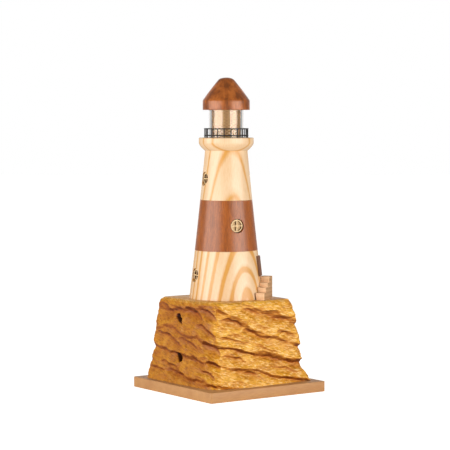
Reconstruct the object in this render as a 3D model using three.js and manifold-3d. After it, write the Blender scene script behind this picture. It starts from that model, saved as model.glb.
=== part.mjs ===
// A turned wooden lighthouse on a carved wooden rock and a square board.
//
// Millimetres, +Z up. The origin is the middle of the board's underside. The two faces of the rock
// with the caves and the long ridges look towards -X and -Y. The tower was glued a little off the
// board's middle, and its windows are turned a little from the board's edges, as hand work is.

import * as THREE from 'three';
import { mergeVertices } from 'three/addons/utils/BufferGeometryUtils.js';
import Module from 'manifold-3d';

const wasm = await Module();
wasm.setup();

// ---- driving dimensions -------------------------------------------------------------------------

const GAP = 0.3; // glue and fitting clearance between a piece and the pocket that it sits in
const TURNED_SIDES = 48; // facets round a turned piece

const BOARD = { side: 128, thickness: 9.5, cornerRadius: 2.2, ease: 0.5 };

const ROCK = {
  centre: [-1.4, 1],
  top: 85,
  superellipse: 14, // exponent of the rounded square outline
  frontSuperellipse: 8, // and at the corner between the -X and -Y faces, which is worn rounder
  // Heights, and half the block's width there over the crests.
  outline: [[9.5, 55.8], [16, 54.6], [24, 52.9], [34, 51.5], [46, 50.8], [58, 49.6], [70, 48.1], [80, 46.8], [83, 45.8], [85, 43.4]],
  stepsPerFace: 20,
  levels: 24,
  toe: { reach: 4.4, top: 30 }, // how far the foot of the +X side spreads, from a height down
};

// The long crests that the gouge left round the block. Places run from 0 at the +X -Y corner, against
// the clock, to 1 at the same corner, so the -X face is from 0.5 to 0.75 and the -Y face from 0.75 on.
const CREST = {
  depth: 2.3,
  under: 0.22, // share of the way down to the next crest at which the hollow is deepest
  places: [0, 0.125, 0.25, 0.375, 0.5, 0.5625, 0.625, 0.75, 0.8125, 0.875, 1],
  heights: [
    [87, 93, 99, 107, 115, 115, 116, 123, 111, 101, 87],
    [65, 73, 80, 88, 96, 96, 97, 104, 92, 81, 65],
    [45, 54, 62, 70, 77, 77, 79, 89, 75, 58, 45],
    [29, 36, 44, 51, 58, 62, 57, 50, 45, 39.5, 29],
    [11, 19, 27, 35, 42, 41, 38, 33, 29, 23, 11],
    [-6, 1, 9, 17, 24, 23, 21, 15, 11, 6, -6],
    [-24, -16, -8, 0, 6, 5, 3, -3, -7, -12, -24],
  ],
  strengths: [1.35, 1, 1, 0.8, 0.3, 0.8, 1, 1, 1, 1.1, 1.35], // of the hollows, at the same places
};
const CAVE = { halfWidth: 7, halfHeight: 3.4, depth: 7.5, tilt: 0.57, places: [[8.5, 67.6], [5, 33.2]] };

const TOWER = {
  centre: [-1.7, 1.2],
  foot: 85,
  bandBottom: 129.5,
  bandTop: 175.8,
  neck: 220.9,
  neckRadius: 19.6,
  taper: 0.094, // growth of the radius per mm below the neck
  flare: 0.0001, // and its growth per square mm, which makes the wall slightly hollow
};
const DECK = { radius: 25.3, rimBottom: 228.5, top: 232.9 };
const LANTERN = { coreRadius: 12.2, meshOuter: 13.1, tubeInner: 13.5, tubeOuter: 16, top: 258.3, socket: 6 };
const ROOF = { radius: 21.65, bandTop: 266.2, shoulder: [20.8, 268.2], nose: [7.2, 285.9], top: 288 };
const RAILING = { radius: 20.2, posts: 20, wire: 0.4, lowRing: 234.9, highRing: 241.2, wireSides: 4 };

const DOWEL = { lowRadius: 6, lowFrom: 60, lowTo: 103, highRadius: 5, highFrom: 112, highTo: 194 };

// Windows by name: angle round the tower in degrees from +X, and height of the middle.
const WINDOWS = [
  { name: 'upper_left', angle: 167.75, height: 195.3 },
  { name: 'upper_right', angle: -12.25, height: 195.3 },
  { name: 'band_front', angle: -102.25, height: 152.8 },
  { name: 'band_back', angle: 77.75, height: 152.8 },
  { name: 'lower_left', angle: 167.75, height: 107 },
];
const WINDOW = { boreRadius: 6.5, discRadius: 5.85, recess: 2, frame: 1.6, pane: 0.8, rim: 1, bar: 0.9 };

const DOOR = { angle: -46.25, width: 11.5, thickness: 0.8, height: 18.6 };
const STAIR = {
  angle: -52.25, // direction that the open side looks in, degrees from +X
  inner: 31.9,
  outer: 40.6,
  back: 13.2,
  front: -13.9,
  tread: 5.5,
  rises: [6.6, 4.4, 4.1, 5.3],
  footGap: 1.6, // the lowest slab stops this far from the wall
};

const SCREW = { offset: 32, headRadius: 3.6, headDepth: 2.6, shankRadius: 1.75, sunk: 0.4, tip: 29, slot: 0.9 };

// ---- finishes -----------------------------------------------------------------------------------

const finish = (color, roughness, metalness = 0) => new THREE.MeshStandardMaterial({ color, roughness, metalness });
const PINE = finish('#f2cf9a', 0.4);
const MAHOGANY = finish('#a3572c', 0.35);
const ROCK_WOOD = finish('#c08a3c', 0.5);
const BEECH = finish('#cf9a6b', 0.6);
const STAIR_WOOD = finish('#e6c091', 0.6);
const LASERED_PLY = finish('#ecd2a0', 0.6);
const DOOR_WOOD = finish('#7a5038', 0.6);
const CORE_WOOD = finish('#d6a257', 0.45);
const BRASS = finish('#d9b36a', 0.3, 1);
const CLEAR_ACRYLIC = finish('#e9ecea', 0.05);
const BLACK_WIRE = finish('#2c2a28', 0.45, 0.3);
const STEEL = finish('#b9bcc0', 0.35, 1);
const DOWEL_WOOD = finish('#e3c79b', 0.6);

// ---- solids -------------------------------------------------------------------------------------

function toSolid(geometry) {
  const bare = geometry.clone();
  bare.deleteAttribute('normal');
  bare.deleteAttribute('uv');
  const merged = mergeVertices(bare, 1e-4);
  return new wasm.Manifold(new wasm.Mesh({
    numProp: 3,
    vertProperties: Float32Array.from(merged.attributes.position.array),
    triVerts: Uint32Array.from(merged.index.array),
  }));
}

function toGeometry(solid) {
  const shape = solid.getMesh();
  const geometry = new THREE.BufferGeometry();
  geometry.setAttribute('position', new THREE.BufferAttribute(shape.vertProperties, 3));
  geometry.setIndex(new THREE.BufferAttribute(shape.triVerts, 1));
  geometry.computeVertexNormals();
  return geometry;
}

const cut = (geometry, ...tools) => toGeometry(tools.reduce((rest, tool) => rest.subtract(toSolid(tool)), toSolid(geometry)));

const join = (geometries) => toGeometry(geometries.map(toSolid).reduce((whole, part) => whole.add(part)));

function turned(profile, sides = TURNED_SIDES) {
  const points = profile.map(([radius, height]) => new THREE.Vector2(radius, height));
  return new THREE.LatheGeometry(points, sides).rotateX(Math.PI / 2);
}

const rod = (radius, from, to, sides = 24) => turned([[0, from], [radius, from], [radius, to], [0, to]], sides);

const ring = (inner, outer, from, to) => turned([[inner, from], [outer, from], [outer, to], [inner, to], [inner, from]]);

function block(x0, x1, y0, y1, z0, z1) {
  const box = new THREE.BoxGeometry(x1 - x0, y1 - y0, z1 - z0);
  return box.translate((x0 + x1) / 2, (y0 + y1) / 2, (z0 + z1) / 2);
}

function named(name, geometry, material) {
  const mesh = new THREE.Mesh(geometry, material);
  mesh.name = name;
  return mesh;
}

// A group on the tower's axis, turned so that its own +X looks away from the tower at an angle.
function facing(degrees) {
  const place = new THREE.Group();
  place.position.set(TOWER.centre[0], TOWER.centre[1], 0);
  place.rotation.z = THREE.MathUtils.degToRad(degrees);
  return place;
}

const group = new THREE.Group();
const onTower = facing(0);
group.add(onTower);

// ---- board and screws ---------------------------------------------------------------------------

function roundedSquare(side, radius) {
  const half = side / 2;
  const shape = new THREE.Shape();
  shape.moveTo(-half + radius, -half);
  shape.absarc(half - radius, -half + radius, radius, -Math.PI / 2, 0);
  shape.absarc(half - radius, half - radius, radius, 0, Math.PI / 2);
  shape.absarc(-half + radius, half - radius, radius, Math.PI / 2, Math.PI);
  shape.absarc(-half + radius, -half + radius, radius, Math.PI, 1.5 * Math.PI);
  return shape;
}

function screwProfile(clearance) {
  const head = SCREW.headRadius + clearance;
  const shank = SCREW.shankRadius + clearance;
  const under = SCREW.sunk + SCREW.headDepth;
  const from = clearance > 0 ? -1 : SCREW.sunk;
  return [[0, from], [head, from], [head, SCREW.sunk], [shank, under], [shank, SCREW.tip - 3], [0, SCREW.tip + clearance]];
}

const screwPlaces = [[-1, -1], [1, -1], [1, 1], [-1, 1]].map(([x, y]) => [x * SCREW.offset, y * SCREW.offset]);
const screwHoles = screwPlaces.map(([x, y]) => turned(screwProfile(GAP), 16).translate(x, y, 0));

function makeBoard() {
  const slab = new THREE.ExtrudeGeometry(roundedSquare(BOARD.side, BOARD.cornerRadius), {
    depth: BOARD.thickness - 2 * BOARD.ease,
    bevelThickness: BOARD.ease,
    bevelSize: BOARD.ease,
    bevelOffset: -BOARD.ease,
    bevelSegments: 2,
    curveSegments: 3,
  }).translate(0, 0, BOARD.ease);
  return cut(slab, ...screwHoles);
}

function makeScrew([x, y]) {
  const slot = block(-SCREW.headRadius, SCREW.headRadius, -SCREW.slot / 2, SCREW.slot / 2, 0, SCREW.sunk + 1);
  return cut(turned(screwProfile(0), 16), slot).translate(x, y, 0);
}

group.add(named('base_board', makeBoard(), BEECH));
screwPlaces.forEach((place, i) => group.add(named(`board_screw_${i + 1}`, makeScrew(place), STEEL)));

// ---- rock ---------------------------------------------------------------------------------------

function rockHalfWidth(height) {
  const upper = Math.max(1, ROCK.outline.findIndex(([level]) => level >= height));
  const [z0, w0] = ROCK.outline[upper - 1];
  const [z1, w1] = ROCK.outline[upper];
  return w0 + ((w1 - w0) * (height - z0)) / (z1 - z0);
}

// A value between the ones that a row gives at the crests' places.
function alongRow(row, around) {
  const next = Math.max(1, CREST.places.findIndex((place) => place >= around));
  const share = (around - CREST.places[next - 1]) / (CREST.places[next] - CREST.places[next - 1]);
  return row[next - 1] + (row[next] - row[next - 1]) * share;
}

// Heights of the long crests at a place round the rock, with a little wander.
function crestsAt(around) {
  return CREST.heights.map((row, i) => {
    const wander = 0.9 * Math.sin(2 * Math.PI * (9 * around + 0.37 * i));
    return alongRow(row, around) + wander;
  });
}

// Depth of the gouge cuts at a place round the rock and a height. Each hollow cuts in steeply under a
// crest and runs out slowly to the next crest below.
function gougeDepth(around, height) {
  const crests = crestsAt(around);
  const lower = crests.findIndex((crest) => crest < height);
  const share = (crests[lower - 1] - height) / (crests[lower - 1] - crests[lower]);
  const steep = Math.min(1, share / CREST.under);
  const slow = Math.min(1, (1 - share) / (1 - CREST.under));
  const waver = 0.8 + 0.2 * Math.sin(2 * Math.PI * (3 * around + 0.017 * height));
  const strength = waver * alongRow(CREST.strengths, around);
  return CREST.depth * strength * steep * steep * (3 - 2 * steep) * slow ** 1.2;
}

// How far the rock's outline is stretched at an angle from a circle towards a square.
function squareStretch(angle) {
  const [c, s] = [Math.cos(angle), Math.sin(angle)];
  const power = c < 0 && s < 0 ? ROCK.frontSuperellipse : ROCK.superellipse;
  return (Math.abs(c) ** power + Math.abs(s) ** power) ** (-1 / power);
}

function makeRock() {
  const positions = [];
  const index = [];
  const count = 4 * ROCK.stepsPerFace;
  for (let level = 0; level <= ROCK.levels; level += 1) {
    const height = BOARD.thickness + ((ROCK.top - BOARD.thickness) * level) / ROCK.levels;
    for (let i = 0; i < count; i += 1) {
      const face = Math.floor(i / ROCK.stepsPerFace);
      const across = (2 * (i % ROCK.stepsPerFace)) / ROCK.stepsPerFace - 1;
      const angle = (face * Math.PI) / 2 + Math.atan(across);
      const out = squareStretch(angle);
      const reach = (rockHalfWidth(height) - gougeDepth(i / count, height)) * out;
      const low = Math.max(0, (ROCK.toe.top - height) / (ROCK.toe.top - BOARD.thickness));
      const toe = ROCK.toe.reach * low ** 2 * Math.max(0, out * Math.cos(angle));
      positions.push(reach * Math.cos(angle) + toe, reach * Math.sin(angle), height);
    }
  }
  const foot = positions.push(0, 0, BOARD.thickness) / 3 - 1;
  const crown = positions.push(0, 0, ROCK.top) / 3 - 1;
  const lastRow = ROCK.levels * count;
  for (let i = 0; i < count; i += 1) {
    const next = (i + 1) % count;
    index.push(foot, next, i, crown, lastRow + i, lastRow + next);
    for (let row = 0; row < lastRow; row += count) {
      index.push(row + i, row + next, row + count + next, row + i, row + count + next, row + count + i);
    }
  }
  const geometry = new THREE.BufferGeometry();
  geometry.setAttribute('position', new THREE.Float32BufferAttribute(positions, 3));
  geometry.setIndex(index);
  return geometry.translate(ROCK.centre[0], ROCK.centre[1], 0);
}

// A cave is a slanting pocket in the -X face.
function makeCave([along, height]) {
  const face = ROCK.centre[0] - rockHalfWidth(height) + CREST.depth / 2;
  const pocket = new THREE.IcosahedronGeometry(1, 1);
  pocket.scale(CAVE.depth, CAVE.halfWidth, CAVE.halfHeight).rotateX(CAVE.tilt);
  return pocket.translate(face, along, height);
}

const lowDowelBore = rod(DOWEL.lowRadius + GAP, DOWEL.lowFrom - GAP, DOWEL.lowTo + GAP);
const boredRock = cut(
  makeRock(),
  ...CAVE.places.map(makeCave),
  ...screwHoles,
  lowDowelBore.clone().translate(TOWER.centre[0], TOWER.centre[1], 0),
);
group.add(named('rock_block', boredRock, ROCK_WOOD));

// ---- tower --------------------------------------------------------------------------------------

function wallRadius(height) {
  const below = TOWER.neck - height;
  return TOWER.neckRadius + TOWER.taper * below + TOWER.flare * below * below;
}

function wall(from, to, steps, clearance = 0) {
  return Array.from({ length: steps + 1 }, (_, i) => {
    const height = from + ((to - from) * i) / steps;
    return [wallRadius(height) + clearance, height];
  });
}

// The distance from the tower's axis to the floor of a window's bore.
const boreFloor = (height) => wallRadius(height) - WINDOW.recess - WINDOW.frame - WINDOW.pane - 2 * GAP;

// A bore for a window, in the frame of a group that faces the window.
function windowBore(height) {
  const floor = boreFloor(height);
  const bore = new THREE.CylinderGeometry(WINDOW.boreRadius, WINDOW.boreRadius, 12, 28);
  return bore.rotateZ(Math.PI / 2).translate(floor + 6, 0, height);
}

function windowBores(from, to) {
  const here = WINDOWS.filter(({ height }) => height > from && height < to);
  return here.map(({ angle, height }) => windowBore(height).rotateZ(THREE.MathUtils.degToRad(angle)));
}

function deckProfile() {
  const underside = new THREE.QuadraticBezierCurve(
    new THREE.Vector2(TOWER.neckRadius, TOWER.neck),
    new THREE.Vector2(DECK.radius - 0.1, DECK.rimBottom - 2.9),
    new THREE.Vector2(DECK.radius, DECK.rimBottom),
  );
  const curve = underside.getPoints(6).slice(1).map(({ x, y }) => [x, y]);
  return [...curve, [DECK.radius, DECK.top - 0.5], [DECK.radius - 0.5, DECK.top]];
}

function makeLowerTower() {
  const body = turned([[0, TOWER.foot], ...wall(TOWER.foot, TOWER.bandBottom, 5), [0, TOWER.bandBottom]]);
  return cut(body, lowDowelBore, highDowelBore, ...windowBores(TOWER.foot, TOWER.bandBottom));
}

function makeBand() {
  const body = turned([[0, TOWER.bandBottom], ...wall(TOWER.bandBottom, TOWER.bandTop, 4), [0, TOWER.bandTop]]);
  return cut(body, highDowelBore, ...windowBores(TOWER.bandBottom, TOWER.bandTop));
}

function makeUpperTower() {
  const body = turned([[0, TOWER.bandTop], ...wall(TOWER.bandTop, TOWER.neck, 4), ...deckProfile(), [0, DECK.top]]);
  const socket = rod(LANTERN.coreRadius + GAP, DECK.top - LANTERN.socket - GAP, DECK.top + 1, TURNED_SIDES);
  return cut(body, highDowelBore, socket, ...windowBores(TOWER.bandTop, TOWER.neck));
}

const highDowelBore = rod(DOWEL.highRadius + GAP, DOWEL.highFrom - GAP, DOWEL.highTo + GAP);
onTower.add(named('lower_tower', makeLowerTower(), PINE));
onTower.add(named('middle_band', makeBand(), MAHOGANY));
onTower.add(named('upper_tower', makeUpperTower(), PINE));
onTower.add(named('foot_dowel', rod(DOWEL.lowRadius, DOWEL.lowFrom, DOWEL.lowTo), DOWEL_WOOD));
onTower.add(named('band_dowel', rod(DOWEL.highRadius, DOWEL.highFrom, DOWEL.highTo), DOWEL_WOOD));

// ---- windows ------------------------------------------------------------------------------------

// The frame is a disc with four quarter-round lights between its rim and its crossed bars.
function frameShape() {
  const shape = new THREE.Shape();
  shape.absarc(0, 0, WINDOW.discRadius, 0, 2 * Math.PI);
  const inner = WINDOW.discRadius - WINDOW.rim;
  const halfBar = WINDOW.bar / 2;
  const lean = Math.asin(halfBar / inner);
  for (let quarter = 0; quarter < 4; quarter += 1) {
    const start = (quarter * Math.PI) / 2;
    const light = new THREE.Path();
    const middle = start + Math.PI / 4;
    light.moveTo(halfBar * Math.SQRT2 * Math.cos(middle), halfBar * Math.SQRT2 * Math.sin(middle));
    light.absarc(0, 0, inner, start + lean, start + Math.PI / 2 - lean);
    light.closePath();
    shape.holes.push(light);
  }
  return shape;
}

function addWindow({ name, angle, height }) {
  const place = facing(angle);
  const floor = boreFloor(height);
  const pane = new THREE.CylinderGeometry(WINDOW.discRadius, WINDOW.discRadius, WINDOW.pane, 28);
  pane.rotateZ(Math.PI / 2).translate(floor + GAP + WINDOW.pane / 2, 0, height);
  const frame = new THREE.ExtrudeGeometry(frameShape(), { depth: WINDOW.frame, bevelEnabled: false, curveSegments: 7 });
  frame.rotateX(Math.PI / 2).rotateZ(Math.PI / 2).translate(floor + 2 * GAP + WINDOW.pane, 0, height);
  place.add(named(`window_pane_${name}`, pane, CORE_WOOD), named(`window_frame_${name}`, frame, LASERED_PLY));
  group.add(place);
}

WINDOWS.forEach(addWindow);

// ---- stair and door -----------------------------------------------------------------------------

function wallWithGap(gap) {
  const outline = wall(TOWER.foot - 1, TOWER.bandBottom, 6, gap);
  return turned([[0, TOWER.foot - 1], ...outline, [0, TOWER.bandBottom]]);
}

// Four slabs stacked on each other, each shorter than the one under it.
function addStair() {
  const place = facing(STAIR.angle);
  let from = ROCK.top;
  STAIR.rises.forEach((rise, i) => {
    const slab = block(STAIR.inner, STAIR.outer, STAIR.front + i * STAIR.tread, STAIR.back, from, from + rise);
    const gap = i === 0 ? STAIR.footGap : GAP;
    place.add(named(`stair_step_${i + 1}`, cut(slab, wallWithGap(gap)), STAIR_WOOD));
    from += rise;
  });
  group.add(place);
  return from;
}

function addDoor(landing) {
  const place = facing(DOOR.angle);
  const [bottom, top] = [landing + GAP, landing + GAP + DOOR.height];
  const proud = GAP + DOOR.thickness;
  const side = new THREE.Shape([
    new THREE.Vector2(wallRadius(bottom) - 1, bottom),
    new THREE.Vector2(wallRadius(bottom) + proud, bottom),
    new THREE.Vector2(wallRadius(top) + proud, top),
    new THREE.Vector2(wallRadius(top) - 1, top),
  ]);
  const slab = new THREE.ExtrudeGeometry(side, { depth: DOOR.width, bevelEnabled: false });
  slab.rotateX(Math.PI / 2).translate(0, DOOR.width / 2, 0);
  place.add(named('door', cut(slab, wallWithGap(GAP)), DOOR_WOOD));
  group.add(place);
}

addDoor(addStair());

// ---- lantern, railing and roof ------------------------------------------------------------------

function makeRailing() {
  const { radius, wire, wireSides, posts, lowRing, highRing } = RAILING;
  const hoops = [lowRing, highRing].map((height) => new THREE.TorusGeometry(radius, wire, wireSides, posts).translate(0, 0, height));
  const uprights = Array.from({ length: posts }, (_, i) => {
    const angle = ((i + 0.25) * 2 * Math.PI) / posts;
    return rod(wire, DECK.top, highRing + wire / 2, wireSides).translate(radius * Math.cos(angle), radius * Math.sin(angle), 0);
  });
  return join([...hoops, ...uprights]);
}

function roofProfile() {
  const [shoulder, nose] = [new THREE.Vector2(...ROOF.shoulder), new THREE.Vector2(...ROOF.nose)];
  const slope = new THREE.QuadraticBezierCurve(shoulder, new THREE.Vector2(14.4, 277.4), nose);
  const tip = new THREE.QuadraticBezierCurve(nose, new THREE.Vector2(5, ROOF.top), new THREE.Vector2(0, ROOF.top));
  const pairs = (points) => points.map(({ x, y }) => [x, y]);
  return [
    [0, LANTERN.top],
    [ROOF.radius - 0.4, LANTERN.top],
    [ROOF.radius, LANTERN.top + 0.4],
    [ROOF.radius, ROOF.bandTop],
    ...pairs(slope.getPoints(5)),
    ...pairs(tip.getPoints(5)).slice(1),
  ];
}

const coreTop = LANTERN.top + LANTERN.socket - 1;
const roofSocket = rod(LANTERN.coreRadius + GAP, LANTERN.top - 1, coreTop + GAP, TURNED_SIDES);
onTower.add(named('lantern_core', rod(LANTERN.coreRadius, DECK.top - LANTERN.socket, coreTop, TURNED_SIDES), CORE_WOOD));
onTower.add(named('lantern_mesh', ring(LANTERN.coreRadius + GAP, LANTERN.meshOuter, DECK.top, LANTERN.top), BRASS));
onTower.add(named('lantern_tube', ring(LANTERN.tubeInner, LANTERN.tubeOuter, DECK.top, LANTERN.top), CLEAR_ACRYLIC));
onTower.add(named('gallery_railing', makeRailing(), BLACK_WIRE));
onTower.add(named('roof', cut(turned(roofProfile()), roofSocket), MAHOGANY));

export default group;
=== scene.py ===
"""The look of a turned wooden lighthouse that stands on a carved wooden rock and a square board."""

import math

import bmesh
import bpy
from bpy.props import FloatProperty, FloatVectorProperty, IntProperty, PointerProperty
from mathutils import Matrix, Vector, noise


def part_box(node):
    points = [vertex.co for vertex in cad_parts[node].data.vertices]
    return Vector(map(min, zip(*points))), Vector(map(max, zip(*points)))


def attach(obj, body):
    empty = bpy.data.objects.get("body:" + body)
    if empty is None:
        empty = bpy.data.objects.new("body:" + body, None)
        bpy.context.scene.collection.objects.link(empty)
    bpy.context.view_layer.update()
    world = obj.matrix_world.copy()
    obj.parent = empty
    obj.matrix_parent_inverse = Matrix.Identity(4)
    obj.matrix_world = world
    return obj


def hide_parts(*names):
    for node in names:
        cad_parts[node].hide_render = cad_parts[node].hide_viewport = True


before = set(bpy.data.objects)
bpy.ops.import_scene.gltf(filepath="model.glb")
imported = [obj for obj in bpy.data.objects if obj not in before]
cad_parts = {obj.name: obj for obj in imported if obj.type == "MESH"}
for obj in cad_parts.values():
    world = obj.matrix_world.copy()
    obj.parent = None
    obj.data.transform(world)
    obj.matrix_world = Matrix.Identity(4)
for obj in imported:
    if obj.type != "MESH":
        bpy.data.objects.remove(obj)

bl_info = {
    "name": "Wooden lighthouse",
    "version": (1, 0, 0),
    "blender": (4, 5, 0),
    "location": "View3D > Sidebar > Lighthouse",
    "description": "Makes a turned wooden lighthouse on a carved rock, piece by piece",
    "category": "Object",
}

MM = 0.001
FULL_TURN = 2 * math.pi
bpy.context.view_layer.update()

# ---- places that come from the frame --------------------------------------------------------------


def box_middle(name):
    low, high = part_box(name)
    return (low + high) / 2


def radius_of(name):
    low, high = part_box(name)
    return (high.x - low.x) / 2


BOARD_LOW, BOARD_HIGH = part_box("base_board")
ROCK_LOW, ROCK_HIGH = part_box("rock_block")
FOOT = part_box("lower_tower")[0].z
BAND_BOTTOM, BAND_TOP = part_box("middle_band")[0].z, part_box("middle_band")[1].z
DECK_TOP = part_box("upper_tower")[1].z
DECK_RADIUS = radius_of("upper_tower")
ROOF_LOW, ROOF_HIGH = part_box("roof")
ROOF_RADIUS = radius_of("roof")
TUBE_RADIUS = radius_of("lantern_tube")
MESH_RADIUS = radius_of("lantern_mesh")
CORE_RADIUS = radius_of("lantern_core")
RAIL_RADIUS = radius_of("gallery_railing")
RAIL_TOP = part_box("gallery_railing")[1].z
AXIS = Vector((box_middle("roof").x, box_middle("roof").y, 0))

# The tower's wall: its radius below the neck, which grows by the taper and a slight hollow flare.
NECK_HEIGHT = 220.9 * MM
NECK_RADIUS = 19.6 * MM
TAPER = 0.094
FLARE = 0.1  # per metre

# Angles round the tower in degrees, from +X against the clock.
WINDOWS = {
    "upper_left": 167.75,
    "upper_right": -12.25,
    "band_front": -102.25,
    "band_back": 77.75,
    "lower_left": 167.75,
}
DOOR_ANGLE = -46.25
STAIR_ANGLE = -52.25


def wall_radius(height):
    below = NECK_HEIGHT - height
    return NECK_RADIUS + TAPER * below + FLARE * below * below


def on_wall(degrees, height):
    """A place on the tower's wall, at an angle round it and a height."""
    turn = math.radians(degrees)
    return AXIS + Vector((math.cos(turn), math.sin(turn), 0)) * wall_radius(height) + Vector((0, 0, height))


# ---- settings ---------------------------------------------------------------------------------------


def linear(code):
    """An sRGB hex colour as linear RGBA."""
    parts = [int(code[i:i + 2], 16) / 255 for i in (1, 3, 5)]
    return [c / 12.92 if c <= 0.04045 else ((c + 0.055) / 1.055) ** 2.4 for c in parts] + [1.0]


def colour(name, code, description):
    return FloatVectorProperty(
        name=name, description=description, default=linear(code), size=4, min=0, max=1, subtype="COLOR"
    )


def length(name, millimetres, description):
    return FloatProperty(name=name, description=description, default=millimetres * MM, min=0, unit="LENGTH")


def count(name, number, least, description):
    return IntProperty(name=name, description=description, default=number, min=least)


def heading(name, degrees, description):
    return FloatProperty(name=name, description=description, default=math.radians(degrees), subtype="ANGLE")


def brightness(name, value, description):
    return FloatProperty(name=name, description=description, default=value, min=0)


class LighthouseTimber(bpy.types.PropertyGroup):
    """Colours and figure of the woods."""

    pine_pale: colour("Pine early wood", "#E6C8A2", "Soft pale wood between the pine's rings")
    pine_dark: colour("Pine late wood", "#D29744", "Hard orange wood of the pine's rings")
    lower_rings: length("Lower ring width", 6.3, "Width of one year's growth in the lower piece")
    upper_rings: length("Upper ring width", 8.2, "Width of one year's growth in the upper piece")
    mahogany_light: colour("Mahogany light", "#B26324", "Light stripes of the band and roof")
    mahogany_dark: colour("Mahogany dark", "#7A3E0E", "Dark stripes of the band and roof")
    rock_light: colour("Rock light", "#F2B643", "Crests of the carved rock")
    rock_dark: colour("Rock dark", "#6E3D08", "Hollows and pores of the carved rock")
    board_wood: colour("Board", "#C28F58", "Steamed beech of the base board")
    stair_wood: colour("Stair", "#EAC094", "Pale slabs of the stair")


class LighthouseCarving(bpy.types.PropertyGroup):
    """Sizes of the gouge work on the rock."""

    depth: length("Hollow depth", 2.3, "Depth of the long hollows under the crests")
    scallop: length("Scallop", 22.0, "Length of one small gouge cut along the rock")
    scallop_depth: length("Scallop depth", 1.4, "Depth of the small gouge cuts")
    columns: count("Columns", 520, 40, "Steps of the fine surface round the rock")
    rows: count("Rows", 180, 20, "Steps of the fine surface up the rock")


class LighthouseFittings(bpy.types.PropertyGroup):
    """Sizes of the lantern, railing and windows."""

    strands: count("Strands", 19, 4, "Strands of the lantern mesh in each direction")
    strand: length("Strand width", 0.75, "Width of one strand of the lantern mesh")
    cell: length("Cell height", 2.8, "Height of one diamond of the lantern mesh")
    wire: length("Railing wire", 1.0, "Diameter of the railing's wire")
    posts: count("Posts", 20, 3, "Upright wires of the railing")
    rim: length("Window rim", 1.0, "Width of a window frame's rim")
    bar: length("Window bar", 0.9, "Width of a window frame's bars")
    plank: length("Door plank", 2.8, "Width of one plank of the door")


class LighthouseStudio(bpy.types.PropertyGroup):
    """Camera and light."""

    distance: length("Camera distance", 1668.8, "From the tower's axis to the camera, level")
    height: length("Camera height", 253.8, "Height of the camera above the floor")
    azimuth: heading("Azimuth", -35.25, "Direction to the camera")
    pitch: heading("Pitch", 3.48, "How far the camera looks down")
    focal: FloatProperty(
        name="Focal length", description="Of the lens, on a 36 mm sensor", default=144.95, unit="CAMERA"
    )
    box_light: brightness("Softboxes", 5.0, "Radiance of the two softboxes")
    sky_light: brightness("Room", 0.28, "Brightness of the room away from its white backdrop")


def settings():
    """The values of the four groups: timber, carving, fittings and studio."""
    return [getattr(bpy.context.scene, name) for name in GROUPS]


# ---- materials --------------------------------------------------------------------------------------


def fill(tree, node, inputs):
    """Gives a node's sockets their values, or links them to other nodes' outputs."""
    for key, value in inputs.items():
        if isinstance(value, bpy.types.NodeSocket):
            tree.links.new(value, node.inputs[key])
        else:
            node.inputs[key].default_value = value


def add(tree, kind, inputs=None, **values):
    """Adds a node to a tree, with its settings and its sockets' values or links."""
    made = tree.nodes.new(kind)
    for key, value in values.items():
        setattr(made, key, value)
    fill(tree, made, inputs or {})
    return made


def ramp(tree, factor, *stops):
    """A colour picked by a factor from stops, each a place and a linear colour."""
    made = add(tree, "ShaderNodeValToRGB", {"Fac": factor})
    elements = made.color_ramp.elements
    while len(elements) < len(stops):
        elements.new(1.0)
    for element, (place, value) in zip(elements, stops):
        element.position = place
        element.color = value
    return made.outputs[0]


def mix(tree, factor, first, second, blend="MIX"):
    """Two colours, which are the mix node's sockets 6 and 7, mixed by a factor."""
    inputs = {"Factor": factor, 6: first, 7: second}
    return add(tree, "ShaderNodeMix", inputs, data_type="RGBA", blend_type=blend).outputs[2]


def math_node(tree, operation, *values):
    return add(tree, "ShaderNodeMath", dict(enumerate(values)), operation=operation).outputs[0]


def vector_node(tree, operation, *values):
    made = add(tree, "ShaderNodeVectorMath", dict(enumerate(values)), operation=operation)
    return made.outputs["Value" if operation in ("LENGTH", "DOT_PRODUCT") else "Vector"]


def part_of(tree, vector, axis):
    return add(tree, "ShaderNodeSeparateXYZ", {0: vector}).outputs[axis]


def grey(value):
    return (value, value, value, 1.0)


def new_material(name):
    """An empty material, its tree, its Principled shader and the piece's Object coordinates."""
    made = bpy.data.materials.new(name)
    made.use_nodes = True
    tree = made.node_tree
    tree.nodes.clear()
    shader = add(tree, "ShaderNodeBsdfPrincipled")
    add(tree, "ShaderNodeOutputMaterial", {"Surface": shader.outputs["BSDF"]})
    return made, tree, shader, add(tree, "ShaderNodeTexCoord").outputs["Object"]


def grain_noise(tree, place, across, along, axis="Z", detail=3.0, seed=0.0):
    """Noise drawn out along the wood's fibres: across and along are its sizes in metres."""
    scale = [1 / across] * 3
    scale["XYZ".index(axis)] = 1 / along
    shift = (seed, seed * 0.7, seed * 1.3)
    turned = add(tree, "ShaderNodeMapping", {"Vector": place, "Scale": scale, "Location": shift}).outputs[0]
    inputs = {"Vector": turned, "Scale": 1.0, "Detail": detail, "Roughness": 0.55}
    return add(tree, "ShaderNodeTexNoise", inputs).outputs["Fac"]


def bumped(tree, height, distance, strength=1.0):
    inputs = {"Height": height, "Distance": distance, "Strength": strength}
    return add(tree, "ShaderNodeBump", inputs).outputs["Normal"]


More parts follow.
